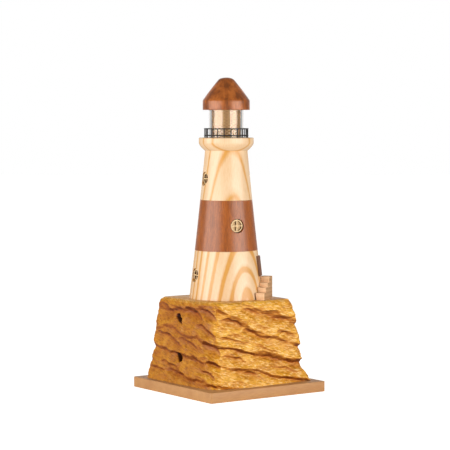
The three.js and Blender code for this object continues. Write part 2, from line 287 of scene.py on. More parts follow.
def make_pine(
    name, ring_width, face_angle, level, ring_start, lean, swell, swell_place, swell_size, late_wood
):
    """Varnished pine, turned and sanded: broad orange late wood that the taper cuts into tall arches.

    The pith lies far behind the arches and leans, so the arches are centred on face_angle. ring_start
    is the distance from the tower's axis to a ring at the height level. A swell in the trunk, as over a
    branch, pushes the rings out round swell_place and closes the arches there. late_wood gives the late
    wood's share of a ring and how dark it is."""
    timber = settings()[0]
    made, tree, shader, place = new_material(name)
    pith_reach, waver = 90 * MM, 2.6 * MM
    pith = AXIS - Vector((math.cos(face_angle), math.sin(face_angle), 0)) * pith_reach
    wander = grain_noise(tree, place, 24 * MM, 90 * MM, detail=2.0, seed=ring_start * 900)
    flat = vector_node(tree, "MULTIPLY", vector_node(tree, "SUBTRACT", place, pith), (1, 1, 0))
    reach = vector_node(tree, "LENGTH", flat)
    leaned = math_node(tree, "MULTIPLY_ADD", part_of(tree, place, "Z"), -lean, reach)
    moved = math_node(tree, "MULTIPLY_ADD", wander, waver, leaned)
    scaled = vector_node(tree, "DIVIDE", vector_node(tree, "SUBTRACT", place, swell_place), swell_size)
    square = vector_node(tree, "DOT_PRODUCT", scaled, scaled)
    near = math_node(tree, "POWER", math.e, math_node(tree, "MULTIPLY", square, -1.0))
    moved = math_node(tree, "MULTIPLY_ADD", near, swell, moved)
    start = pith_reach + ring_start - lean * level + waver / 2
    rings = math_node(tree, "DIVIDE", math_node(tree, "SUBTRACT", moved, start), ring_width)
    fuzz = grain_noise(tree, place, 0.9 * MM, 16 * MM, seed=3.1)
    rings = math_node(tree, "MULTIPLY_ADD", fuzz, 0.10, rings)
    # Forty whole years keep the count above zero.
    year = math_node(tree, "FRACT", math_node(tree, "ADD", rings, 40.45))
    share, depth = late_wood
    middle = 0.52
    first, last = middle - share / 2, middle + share / 2
    late = ramp(
        tree, year, (0.0, grey(0.12)), (first - 0.13, grey(0.0)), (first, grey(0.25)),
        (first + 0.1, grey(1.0)), (last - 0.1, grey(0.9)), (last, grey(0.2)), (1.0, grey(0.12)),
    )
    fade = grain_noise(tree, place, 30 * MM, 60 * MM, detail=1.0, seed=8.0)
    amount = math_node(tree, "MULTIPLY", late, math_node(tree, "MULTIPLY_ADD", fade, 0.9, depth))
    body = mix(tree, amount, list(timber.pine_pale), list(timber.pine_dark))
    fibre = grain_noise(tree, place, 0.55 * MM, 14 * MM, detail=4.0, seed=1.7)
    streak = ramp(tree, fibre, (0.3, linear("#E8CDA8")), (0.62, grey(1.0)))
    relief = math_node(tree, "MULTIPLY_ADD", fibre, 0.35, late)
    fill(tree, shader, {
        "Base Color": mix(tree, 0.35, body, streak, "MULTIPLY"),
        "Roughness": math_node(tree, "MULTIPLY_ADD", fibre, 0.12, 0.34),
        "IOR": 1.5,
        "Coat Weight": 0.3,
        "Coat Roughness": 0.22,
        "Normal": bumped(tree, relief, 0.05 * MM, 0.5),
    })
    return made


def make_mahogany(name, mottle, contrast):
    """Varnished mahogany: upright ribbon stripes with short dark pores. mottle is how strongly wild
    grain clouds it, as it does on the steep cone of the roof, and contrast is how far stripes differ."""
    timber = settings()[0]
    made, tree, shader, place = new_material(name)
    ribbon = grain_noise(tree, place, 5 * MM, 70 * MM, detail=3.0, seed=2.2)
    cloud = grain_noise(tree, place, 9 * MM, 12 * MM, detail=2.5, seed=5.2)
    clouding = math_node(tree, "MULTIPLY", math_node(tree, "SUBTRACT", cloud, 0.5), mottle)
    figure = math_node(tree, "ADD", ribbon, clouding)
    figure = math_node(tree, "MULTIPLY_ADD", figure, contrast, 0.52 * (1 - contrast))
    fibre = grain_noise(tree, place, 1.0 * MM, 11 * MM, detail=3.0, seed=7.7)
    figure = math_node(tree, "MULTIPLY_ADD", math_node(tree, "SUBTRACT", fibre, 0.5), 0.55, figure)
    body = ramp(
        tree, figure, (0.30, list(timber.mahogany_dark)), (0.52, linear("#9C5218")),
        (0.72, list(timber.mahogany_light)),
    )
    # Real pores are 0.15 mm wide; these are drawn 0.4 mm wide so that they still show.
    pore = grain_noise(tree, place, 0.4 * MM, 7 * MM, detail=2.0, seed=4.4)
    dark = ramp(tree, pore, (0.33, grey(1.0)), (0.44, grey(0.0)))
    fill(tree, shader, {
        "Base Color": mix(tree, math_node(tree, "MULTIPLY", dark, 0.55), body, linear("#4A220A")),
        "Roughness": math_node(tree, "MULTIPLY_ADD", pore, 0.14, 0.24),
        "IOR": 1.5,
        "Normal": bumped(tree, math_node(tree, "SUBTRACT", 1.0, dark), 0.06 * MM, 0.5),
    })
    return made


def make_rock_wood(name):
    """Gouge-carved golden hardwood with a satin varnish: pale and dark fibres in short level dashes, the pale
    ones partly painted glints, growth rings that the carving cuts into contour lines, and painted shade that
    darkens the hollows, the gouge cuts and the caves. The end grain of the X faces drinks more varnish and is
    darker."""
    timber = settings()[0]
    made, tree, shader, place = new_material(name)
    # Fibres 0.9 mm thick and 4.5 mm long, level but for a slant down to the right on both front faces.
    fibre_size = (4.5 * MM, 4.5 * MM, 0.9 * MM)
    inputs = {"Vector": place, "Rotation": (0.28, 0.16, 0), "Scale": fibre_size}
    sheet = add(tree, "ShaderNodeMapping", inputs, vector_type="TEXTURE").outputs[0]
    inputs = {"Vector": sheet, "Scale": 1.0, "Detail": 2.0, "Roughness": 0.6, "Distortion": 0.35}
    fibre = add(tree, "ShaderNodeTexNoise", inputs).outputs["Fac"]
    broad = grain_noise(tree, place, 9 * MM, 22 * MM, axis="X", detail=3.0, seed=12.0)
    # Growth rings 2.6 mm apart, round a pith that lies behind the block and tilts a little.
    pith = {"Vector": place, "Location": (0, -95 * MM, 70 * MM), "Rotation": (0, 0.10, 0.06)}
    centred = add(tree, "ShaderNodeMapping", pith).outputs[0]
    reach = vector_node(tree, "LENGTH", vector_node(tree, "MULTIPLY", centred, (0, 1, 1)))
    rings = math_node(tree, "DIVIDE", math_node(tree, "MULTIPLY_ADD", broad, 9 * MM, reach), 2.6 * MM)
    ring = math_node(tree, "PINGPONG", rings, 1.0)
    normal = add(tree, "ShaderNodeNewGeometry").outputs["Normal"]
    facing_x = math_node(tree, "ABSOLUTE", part_of(tree, normal, "X"))
    end = ramp(tree, facing_x, (0.35, grey(0.0)), (0.95, grey(1.0)))
    side = math_node(tree, "SUBTRACT", 1.0, end)
    ground = math_node(tree, "MULTIPLY_ADD", broad, 0.5, 0.2)
    shade = math_node(tree, "MULTIPLY_ADD", math_node(tree, "MULTIPLY", ring, side), 0.12, ground)
    tone = ramp(
        tree, shade, (0.30, linear("#C07C14")), (0.46, linear("#DA9822")), (0.62, list(timber.rock_light))
    )
    # The pale dashes are partly pale fibres and partly painted glints; they are stronger on the faces that
    # are not end grain.
    pale = ramp(tree, fibre, (0.53, grey(0.0)), (0.63, grey(1.0)))
    dark = ramp(tree, fibre, (0.37, grey(1.0)), (0.47, grey(0.0)))
    glint_share = math_node(tree, "MULTIPLY", pale, math_node(tree, "MULTIPLY_ADD", side, 0.45, 0.12))
    tone = mix(tree, glint_share, tone, linear("#FFE3A6"))
    tone = mix(tree, math_node(tree, "MULTIPLY", dark, 0.42), tone, list(timber.rock_dark))
    # Painted shade: the deeper the long hollows, the gouge cuts and the caves, the darker the wood is drawn.
    hollow = add(tree, "ShaderNodeAttribute", attribute_name="hollow").outputs["Fac"]
    hollow_shade = ramp(
        tree, math_node(tree, "MULTIPLY", hollow, 0.5), (0.1, grey(1.0)), (0.34, linear("#E3CDA6")),
        (0.5, linear("#CFA878")), (1.0, linear("#4A2C12")),
    )
    tone = mix(tree, 1.0, tone, hollow_shade, "MULTIPLY")
    tone = mix(tree, end, tone, linear("#D8C482"), "MULTIPLY")
    # Painted shade: faces that look down, under the crests, are darkened, level ones a little, and faces that
    # look up keep their colour.
    up = part_of(tree, normal, "Z")
    slope_shade = ramp(
        tree, math_node(tree, "MULTIPLY_ADD", up, 0.5, 0.5), (0.16, linear("#835A2E")),
        (0.40, linear("#D8BC94")), (0.5, linear("#F0E4D0")), (0.62, grey(1.0)),
    )
    tone = mix(tree, 1.0, tone, slope_shade, "MULTIPLY")
    # Painted reflection: the faces that look straight up, the planed top, are greyed towards a pinkish brown.
    painted_top_reflection = ramp(tree, up, (0.93, grey(0.0)), (0.99, grey(1.0)))
    tone = mix(tree, math_node(tree, "MULTIPLY", painted_top_reflection, 0.75), tone, linear("#B98A6C"))
    relief = math_node(tree, "MULTIPLY_ADD", ring, 0.25, fibre)
    fill(tree, shader, {
        "Base Color": tone,
        "Roughness": math_node(tree, "MULTIPLY_ADD", fibre, 0.2, 0.36),
        "IOR": 1.45,
        "Specular IOR Level": 0.35,
        "Normal": bumped(tree, relief, 0.3 * MM, 0.6),
    })
    return made


def make_plain_wood(name, base, fleck, axis, across, along, roughness, contrast=0.5, layer=None):
    """A close-grained wood: short flecks along one axis, and level glue or growth lines where layer
    gives their spacing."""
    made, tree, shader, place = new_material(name)
    grain = grain_noise(tree, place, across, along, axis=axis, detail=4.0, seed=7.0)
    broad = grain_noise(tree, place, 12 * MM, 40 * MM, axis=axis, detail=2.0, seed=11.0)
    mixed = math_node(tree, "MULTIPLY_ADD", broad, 0.5, math_node(tree, "MULTIPLY", grain, 0.5))
    if layer:
        wave = math_node(tree, "MULTIPLY_ADD", broad, 0.9 * MM, part_of(tree, place, "Z"))
        line = math_node(tree, "PINGPONG", math_node(tree, "DIVIDE", wave, layer), 1.0)
        mixed = math_node(tree, "MULTIPLY_ADD", line, 0.22, math_node(tree, "SUBTRACT", mixed, 0.11))
    fill(tree, shader, {
        "Base Color": ramp(tree, mixed, (0.5 - contrast / 4, fleck), (0.5 + contrast / 4, base)),
        "Roughness": math_node(tree, "MULTIPLY_ADD", grain, 0.14, roughness),
        "IOR": 1.5,
        "Normal": bumped(tree, grain, 0.06 * MM, 0.5),
    })
    return made


def make_burnt_edge(name):
    """The edge that a laser leaves on thin ply: dark brown char, sooty in spots."""
    made, tree, shader, place = new_material(name)
    soot = grain_noise(tree, place, 0.5 * MM, 0.5 * MM, detail=3.0, seed=2.0)
    fill(tree, shader, {
        "Base Color": ramp(tree, soot, (0.35, linear("#2E1709")), (0.65, linear("#6E4423"))),
        "Roughness": 0.7,
        "Normal": bumped(tree, soot, 0.05 * MM, 0.5),
    })
    return made


def make_metal(name, base, roughness, scratch):
    """Bare metal, drawn or pressed: fine marks of the size scratch vary its colour and gloss."""
    made, tree, shader, place = new_material(name)
    marks = grain_noise(tree, place, scratch, scratch * 3, detail=2.0, seed=1.0)
    duller = [c * 0.8 for c in base[:3]] + [1.0]
    fill(tree, shader, {
        "Base Color": ramp(tree, marks, (0.3, duller), (0.7, base)),
        "Metallic": 1.0,
        "Roughness": math_node(tree, "MULTIPLY_ADD", marks, 0.15, roughness),
    })
    return made


def make_clear_tube(name):
    """Extruded clear acrylic, polished: bends light like glass and has a faint warm tint."""
    made, tree, shader, place = new_material(name)
    ripple = grain_noise(tree, place, 5 * MM, 20 * MM, detail=1.0, seed=1.0)
    fill(tree, shader, {
        "Base Color": linear("#FBF7F2"),
        "Roughness": 0.015,
        "IOR": 1.49,
        "Transmission Weight": 1.0,
        "Normal": bumped(tree, ripple, 0.01 * MM, 0.3),
    })
    return made


def make_coated_wire(name):
    """Welded mesh wire with a thin black coat that is slightly worn and uneven."""
    made, tree, shader, place = new_material(name)
    wear = grain_noise(tree, place, 0.7 * MM, 0.7 * MM, detail=3.0, seed=5.0)
    fill(tree, shader, {
        "Base Color": ramp(tree, wear, (0.4, linear("#161312")), (0.7, linear("#2E2824"))),
        "Roughness": math_node(tree, "MULTIPLY_ADD", wear, 0.2, 0.32),
        "IOR": 1.5,
        "Normal": bumped(tree, wear, 0.05 * MM, 0.6),
    })
    return made


def make_floor_white(name):
    """Matt white paper sweep, exposed so that the lens sees it as nearly pure white."""
    made, tree, shader = new_material(name)[:3]
    seen = add(tree, "ShaderNodeLightPath").outputs["Is Camera Ray"]
    fill(tree, shader, {
        "Base Color": linear("#F3F2F0"),
        "Roughness": 0.9,
        "Specular IOR Level": 0.2,
        "Emission Color": linear("#FFFEFC"),
        "Emission Strength": math_node(tree, "MULTIPLY", seen, 0.75),
    })
    return made


MAKERS = {
    "lower pine": lambda n: make_pine(
        n, settings()[0].lower_rings, math.radians(-93.25), 86 * MM, 27.6 * MM, 0.01, 7 * MM,
        on_wall(-88.25, 90 * MM), (15 * MM, 15 * MM, 29 * MM), (0.38, 0.95)),
    "upper pine": lambda n: make_pine(
        n, settings()[0].upper_rings, math.radians(-111.25), 179.6 * MM, 16.6 * MM, 0.06, 1 * MM,
        on_wall(-111.25, 176 * MM), (15 * MM, 15 * MM, 24 * MM), (0.25, 0.6)),
    "band mahogany": lambda n: make_mahogany(n, 0.1, 0.45),
    "roof mahogany": lambda n: make_mahogany(n, 0.9, 1.25),
    "carved golden hardwood": make_rock_wood,
    "sanded beech board": lambda n: make_plain_wood(
        n, list(settings()[0].board_wood), linear("#B27D49"), "X", 0.7 * MM, 5 * MM, 0.46),
    "pale stair slabs": lambda n: make_plain_wood(
        n, list(settings()[0].stair_wood), linear("#E2B283"), "X", 0.8 * MM, 9 * MM, 0.5, 0.6, 1.9 * MM),
    # A darker copy of the slab wood: painted shade for the sides of the slabs that look out from the tower.
    "stair sides in painted shade": lambda n: make_plain_wood(
        n, linear("#BE9468"), linear("#A2774C"), "X", 0.5 * MM, 1 * MM, 0.6, 0.6, 1.9 * MM),
    "laser-cut birch ply": lambda n: make_plain_wood(
        n, linear("#F2D6A6"), linear("#DDB57C"), "Z", 0.4 * MM, 4 * MM, 0.5),
    "burnt ply edge": make_burnt_edge,
    "window pane ply": lambda n: make_plain_wood(
        n, linear("#F5CF98"), linear("#DDB078"), "Z", 0.5 * MM, 5 * MM, 0.55),
    "brown stained ply": lambda n: make_plain_wood(
        n, linear("#8A5A3C"), linear("#5F3B26"), "Z", 0.6 * MM, 8 * MM, 0.5),
    "golden oak core": lambda n: make_plain_wood(
        n, linear("#D39A56"), linear("#B37A3A"), "Z", 0.7 * MM, 10 * MM, 0.35),
    "beech dowel": lambda n: make_plain_wood(
        n, linear("#E3C79B"), linear("#C9A676"), "Z", 0.6 * MM, 6 * MM, 0.55),
    "bright brass mesh": lambda n: make_metal(n, linear("#FFDDA6"), 0.5, 0.5 * MM),
    "zinc plated steel": lambda n: make_metal(n, linear("#C4C6C9"), 0.3, 0.6 * MM),
    "polished clear acrylic": make_clear_tube,
    "black coated wire": make_coated_wire,
    "white paper": make_floor_white,
}


def material(name):
    """The material of that name, made the first time that it is asked for."""
    return bpy.data.materials.get(name) or MAKERS[name](name)


# ---- modelling helpers ------------------------------------------------------------------------------


def to_piece(bm, name, materials, smooth_below=35):
    """Turns a bmesh into an object at the origin, with smooth faces and sharp edges."""
    mesh = bpy.data.meshes.new(name)
    bm.to_mesh(mesh)
    bm.free()
    piece = bpy.data.objects.new(name, mesh)
    bpy.context.scene.collection.objects.link(piece)
    for entry in materials:
        mesh.materials.append(material(entry))
    mesh.shade_smooth()
    mesh.set_sharp_from_angle(angle=math.radians(smooth_below))
    return piece


def hand_in(piece, slot, *nodes):
    """Ties a finished piece to the frame."""
    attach(piece, "root")
    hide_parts(*nodes)


def spun(profile, steps, centre=AXIS):
    """A turned solid from (radius, height) points, as a bmesh. A profile that closes makes a ring."""
    bm = bmesh.new()
    closed = profile[0] == profile[-1]
    points = profile[:-1] if closed else profile
    verts = [bm.verts.new(centre + Vector((radius, 0, height))) for radius, height in points]
    pairs = list(zip(verts, verts[1:])) + ([(verts[-1], verts[0])] if closed else [])
    edges = [bm.edges.new(pair) for pair in pairs]
    bmesh.ops.spin(
        bm, geom=verts + edges, cent=centre, axis=(0, 0, 1), angle=FULL_TURN, steps=steps, use_merge=True
    )
    bmesh.ops.remove_doubles(bm, verts=bm.verts, dist=1e-6)
    bmesh.ops.recalc_face_normals(bm, faces=bm.faces)
    return bm


def arc(centre, radius, start, end, steps):
    """Points on a quarter or so of a circle, in a profile's own plane. Angles are in degrees."""
    turns = [math.radians(start + (end - start) * i / steps) for i in range(steps + 1)]
    return [(centre[0] + radius * math.cos(t), centre[1] + radius * math.sin(t)) for t in turns]


def curve(start, control, end, steps):
    """Points on a quadratic curve, without its first one."""
    points = []
    for i in range(1, steps + 1):
        t = i / steps
        weights = ((1 - t) ** 2, 2 * t * (1 - t), t * t)
        points.append(tuple(sum(w * p[k] for w, p in zip(weights, (start, control, end))) for k in (0, 1)))
    return points


def add_box(bm, low, high):
    """A box between two corners."""
    low, high = Vector(low), Vector(high)
    verts = bmesh.ops.create_cube(bm, size=1.0)["verts"]
    bmesh.ops.scale(bm, vec=high - low, verts=verts)
    bmesh.ops.translate(bm, vec=(low + high) / 2, verts=verts)


def soften(bm, width, segments=2, sharper_than=30, edges=None):
    """Bevels the given edges, or every edge that turns more than an angle."""
    limit = math.radians(sharper_than)
    picked = edges or [e for e in bm.edges if len(e.link_faces) == 2 and e.calc_face_angle(0) > limit]
    bmesh.ops.bevel(
        bm, geom=picked, offset=width, offset_type="OFFSET", segments=segments, profile=0.5, affect="EDGES",
        material=-1, clamp_overlap=True,
    )


def with_boolean(piece, tool, operation):
    """Cuts a tool out of a piece, or joins it on, and removes the tool."""
    step = piece.modifiers.new("boolean", "BOOLEAN")
    step.operation = operation
    step.solver = "EXACT"
    step.object = tool
    shaped = bpy.data.meshes.new_from_object(piece.evaluated_get(bpy.context.evaluated_depsgraph_get()))
    piece.modifiers.clear()
    spent = (piece.data, tool.data)
    piece.data = shaped
    bpy.data.objects.remove(tool)
    for mesh in spent:
        bpy.data.meshes.remove(mesh)


def facing(degrees, height=0.0):
    """A place on the tower's axis, turned so that its own +X looks away from the tower."""
    return Matrix.Translation(AXIS + Vector((0, 0, height))) @ Matrix.Rotation(math.radians(degrees), 4, "Z")


def looking_out(degrees, out, height):
    """A place at a distance from the tower's axis, turned so that its own +Z looks away from it."""
    return facing(degrees, height) @ Matrix.Translation((out, 0, 0)) @ Matrix.Rotation(math.pi / 2, 4, "Y")


def copy_of_node(name):
    """A clean bmesh copy of a CAD node: welded, with its flat faces made whole."""
    bm = bmesh.new()
    bm.from_mesh(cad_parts[name].data)
    bmesh.ops.remove_doubles(bm, verts=bm.verts, dist=2e-6)
    bmesh.ops.dissolve_limit(
        bm, angle_limit=math.radians(1.0), verts=bm.verts, edges=bm.edges, use_dissolve_boundaries=False
    )
    return bm


def second_finish(piece, degrees, on_front):
    """Gives a piece's second material to the faces that look out from the tower or in at it, or else to
    all the others, as the cut edges of a sheet."""
    outward = facing(degrees).to_3x3() @ Vector((1, 0, 0))
    for face in piece.data.polygons:
        looks_out = abs(face.normal.dot(outward)) > 0.7
        face.material_index = int(looks_out == on_front)


# ---- operators --------------------------------------------------------------------------------------


class LIGHTHOUSE_OT_board(bpy.types.Operator):
    """Make the square board with its eased edges, and finish the screws under it"""

    bl_idname = "lighthouse.board"
    bl_label = "Board and screws"

    def execute(self, context):
        bm = bmesh.new()
        add_box(bm, BOARD_LOW, BOARD_HIGH)
        upright = [e for e in bm.edges if abs(e.verts[0].co.z - e.verts[1].co.z) > MM]
        soften(bm, 2.2 * MM, segments=6, edges=upright)
        soften(bm, 0.5 * MM, segments=3, sharper_than=60)
        hand_in(to_piece(bm, "board", ["sanded beech board"]), "board_beech", "base_board")
        for i in range(1, 5):
            screw = copy_of_node(f"board_screw_{i}")
            hand_in(to_piece(screw, f"screw_{i}", ["zinc plated steel"]), "screw_steel", f"board_screw_{i}")
        return {"FINISHED"}


class LIGHTHOUSE_OT_rock(bpy.types.Operator):
    """Carve the rock: long slanting hollows, small gouge cuts over them, and two caves"""

    bl_idname = "lighthouse.rock"
    bl_label = "Carved rock"

    # Heights in millimetres, and half the block's width there over the crests.
    outline = (
        (9.5, 55.8), (16, 54.6), (24, 52.9), (34, 51.5), (46, 50.8),
        (58, 49.6), (70, 48.1), (80, 46.8), (83, 45.8), (85, 43.4),
    )
    corner, front_corner = 14, 8  # exponents of the rounded square; the front corner is worn rounder
    centre = Vector((-1.4 * MM, 1 * MM, 0))
    toe, toe_top = 4.4 * MM, 30 * MM  # how far the foot of the +X side spreads, from a height down
    # Heights in millimetres of the long crests at places round the block, from 0 at the +X -Y corner,
    # against the clock, to 1 at the same corner.
    places = (0, 0.125, 0.25, 0.375, 0.5, 0.5625, 0.625, 0.75, 0.8125, 0.875, 1)
    crests = (
        (87, 93, 99, 107, 115, 115, 116, 123, 111, 101, 87),
        (65, 73, 80, 88, 96, 96, 97, 104, 92, 81, 65),
        (45, 54, 62, 70, 77, 77, 79, 89, 75, 58, 45),
        (29, 36, 44, 51, 58, 62, 57, 50, 45, 39.5, 29),
        (11, 19, 27, 35, 42, 41, 38, 33, 29, 23, 11),
        (-6, 1, 9, 17, 24, 23, 21, 15, 11, 6, -6),
        (-24, -16, -8, 0, 6, 5, 3, -3, -7, -12, -24),
    )
    strengths = (1.35, 1, 1, 0.8, 0.3, 0.8, 1, 1, 1, 1.1, 1.35)  # of the long hollows, at the same places
    # Deep single cuts: place round the block, height, half length, half height and depth in millimetres.
    cuts = (
        (0.712, 58.5, 17, 6.2, 3.0), (0.735, 43, 14, 7.5, 3.2), (0.746, 30, 10, 4.6, 2.4),
        (0.728, 20.5, 13, 4.6, 2.6), (0.664, 72, 17, 6.5, 2.8), (0.545, 71, 17, 9, 2.8),
        (0.722, 73.5, 15, 5, 2.2), (0.575, 45, 26, 7, 2.3), (0.655, 44, 20, 5.5, 2.0),
        (0.60, 20, 24, 6, 2.3), (0.685, 31, 14, 5, 2.0), (0.80, 66, 17, 5.2, 2.2),
        (0.86, 74, 16, 4.6, 2.1), (0.93, 70, 15, 5.5, 2.2), (0.80, 50, 15, 4.8, 2.0),
        (0.87, 55, 18, 5, 2.3), (0.955, 52, 12, 5, 2.2), (0.81, 33, 17, 4.6, 2.0),
        (0.90, 35, 17, 5, 2.2), (0.84, 19, 19, 4.6, 2.0), (0.94, 20, 17, 5, 2.1),
        (0.03, 62, 18, 6, 2.2), (0.10, 48, 20, 6, 2.3), (0.17, 70, 16, 5, 2.0),
        (0.05, 33, 17, 6, 2.2), (0.19, 36, 18, 5.5, 2.1), (0.12, 20, 20, 5, 2.0),
        (0.24, 55, 14, 7, 2.4), (0.30, 71, 20, 5.5, 2.1), (0.36, 44, 19, 6, 2.2),
        (0.29, 28, 17, 5.5, 2.0), (0.44, 60, 20, 6, 2.3), (0.42, 26, 22, 5.5, 2.1),
        (0.485, 42, 14, 6, 2.0),
    )
    cut_slant, girth = 0.27, 400 * MM  # how steeply the cuts fall, and the way round the block
    under = 0.22  # share of the way down to the next crest at which a hollow is deepest
    proud = 0.55 * MM  # how far the crests stand out past the outline
    caves = ((8.5 * MM, 67.6 * MM), (5 * MM, 33.2 * MM))  # along the -X face, and height
    cave_size = (7 * MM, 3.1 * MM, 7 * MM)  # half length, half height and depth
    cave_tilt = (0.843, 0.537)  # cosine and sine of how far the caves slant

    def half_width(self, height):
        height /= MM
        for (z0, w0), (z1, w1) in zip(self.outline, self.outline[1:]):
            if height <= z1 + 1e-4:
                return (w0 + (w1 - w0) * (height - z0) / (z1 - z0)) * MM
        return self.outline[-1][1] * MM

    def along_row(self, row, around):
        """A value between the ones that a row gives at the crests' places."""
        step = max(1, next(i for i, place in enumerate(self.places) if place >= around))
        share = (around - self.places[step - 1]) / (self.places[step] - self.places[step - 1])
        return row[step - 1] + (row[step] - row[step - 1]) * share

    def between_crests(self, around, height):
        """The heights of the crests above and below a place."""
        above = 0
        for i, row in enumerate(self.crests):
            level = (self.along_row(row, around) + 0.9 * math.sin(FULL_TURN * (9 * around + 0.37 * i))) * MM
            if level < height:
                return above, level
            above = level
        return above, level

    def long_hollow(self, around, height, wander):
        """The depth of the long hollows, which cut in steeply under a crest and run out slowly."""
        above, below = self.between_crests(around, height + wander)
        share = (above - height - wander) / (above - below)
        steep = min(1.0, share / self.under)
        slow = min(1.0, (1 - share) / (1 - self.under))
        waver = 0.8 + 0.2 * math.sin(FULL_TURN * (3 * around + 17 * height))
        strength = waver * self.along_row(self.strengths, around)
        return settings()[1].depth * strength * steep * steep * (3 - 2 * steep) * max(0, slow) ** 1.2

    def scallops(self, point, tilt):
        """The depth of small dished cuts, which meet in thin crests."""
        carving = settings()[1]
        along = noise.noise(point / (22 * MM)) * 5 * MM
        place = Vector((point.x, point.y, (point.z + tilt + along) * 2.4)) / carving.scallop
        near, second = noise.voronoi(place)[0][:2]
        dish = min(1.0, (second - near) * 1.9)
        uneven = abs(noise.noise(point / (14 * MM) + Vector((3, 1, 7))))
        return carving.scallop_depth * dish * (0.55 + 0.75 * uneven)

    def single_cuts(self, around, height, point):
        """The deep single cuts, which slant down to the right and end in crisp rims."""
        deepest = 0.0
        ragged = 1.6 * MM * noise.noise(point / (8 * MM))
        slant, girth = self.cut_slant, self.girth
        for place, level, long, tall, depth in self.cuts:
            aside = (around - place) * girth
            rise = height + ragged - level * MM + slant * aside
            reach = (aside / (long * MM)) ** 2 + (rise / (tall * MM)) ** 2
            if reach < 1:
                lean = 1 + 0.5 * rise / (tall * MM)
                deepest = max(deepest, depth * MM * (1 - reach) ** 0.8 * lean)
        return deepest

    def nicks(self, point):
        """Torn fibres and chatter of the gouge."""
        fine = noise.noise(Vector((point.x / (5 * MM), point.y / (2 * MM), point.z / (1.2 * MM))))
        coarse = noise.noise(point / (3.2 * MM))
        return (0.16 * fine + 0.12 * coarse) * MM

    def cave(self, point):
        """How deep a cave goes at a place on the -X face. Caves slant down to the right."""
        if point.x > self.centre.x:
            return 0.0
        deepest = 0.0
        cosine, sine = self.cave_tilt
        long, tall, deep = self.cave_size
        for along, level in self.caves:
            y, z = point.y - along, point.z - level
            ragged = 1 + 0.45 * noise.noise(point / (3.5 * MM) + Vector((0, 0, level * 90)))
            aside = (cosine * y + sine * z) / long
            rise = (cosine * z - sine * y) / tall
            reach = math.hypot(aside, rise) * ragged
            if reach < 1:
                deepest = max(deepest, deep * (1 - reach ** 4))
        return deepest

    def outward(self, around):
        """The way out of the block at a place round it, as long as the rounded square is wide there."""
        quarter = around * 4
        face = min(3, math.floor(quarter + 1e-6))
        angle = face * math.pi / 2 + math.atan(2 * (quarter - face) - 1)
        power = self.front_corner if 2.5 < quarter < 3.5 else self.corner
        sides = abs(math.cos(angle)) ** power + abs(math.sin(angle)) ** power
        return Vector((math.cos(angle), math.sin(angle), 0)) * sides ** (-1 / power)

    def execute(self, context):
        carving, proud = settings()[1], self.proud
        bm = bmesh.new()
        bmesh.ops.create_grid(bm, x_segments=carving.columns, y_segments=carving.rows, size=0.5)
        hollow_layer = bm.verts.layers.float.new("hollow")
        for vert in bm.verts:
            around, rise = vert.co.x + 0.5, vert.co.y + 0.5
            height = ROCK_LOW.z + (ROCK_HIGH.z - ROCK_LOW.z) * rise
            out = self.outward(around)
            low = max(0, (self.toe_top - height) / (self.toe_top - ROCK_LOW.z))
            foot = Vector((self.toe * low * low * max(0, out.x), 0, 0))
            crest = self.centre + out * self.half_width(height) + foot + Vector((0, 0, height))
            slope = 0.30 * (crest.x if out.y < -abs(out.x) * 0.99 else -crest.y * 0.5)
            edge = min(1.0, (ROCK_HIGH.z - height) / (3 * MM), (height - ROCK_LOW.z + 0.4 * MM) / (2 * MM))
            wander = noise.noise(crest / (9 * MM)) * 1.6 * MM
            long = self.long_hollow(around, height, wander)
            small = max(self.scallops(crest, slope), self.single_cuts(around, height, crest))
            small *= 0.35 + 0.65 * edge
            pit = self.cave(crest)
            depth = long + small - proud + self.nicks(crest) * edge
            # The hollow value carries the painted shade of the long hollows, the gouge cuts and the caves.
            cut_shade = 0.35 * min(1, small / carving.scallop_depth)
            vert[hollow_layer] = 0.5 * long / carving.depth + cut_shade + pit / MM
            vert.co = crest - out * (depth + pit)
        bmesh.ops.remove_doubles(bm, verts=bm.verts, dist=5e-6)
        rims = [e for e in bm.edges if e.is_boundary]
        bmesh.ops.holes_fill(bm, edges=rims, sides=0)
        bmesh.ops.recalc_face_normals(bm, faces=bm.faces)
        rock = to_piece(bm, "carved_rock", ["carved golden hardwood"], smooth_below=70)
        hand_in(rock, "rock_wood", "rock_block")
        return {"FINISHED"}


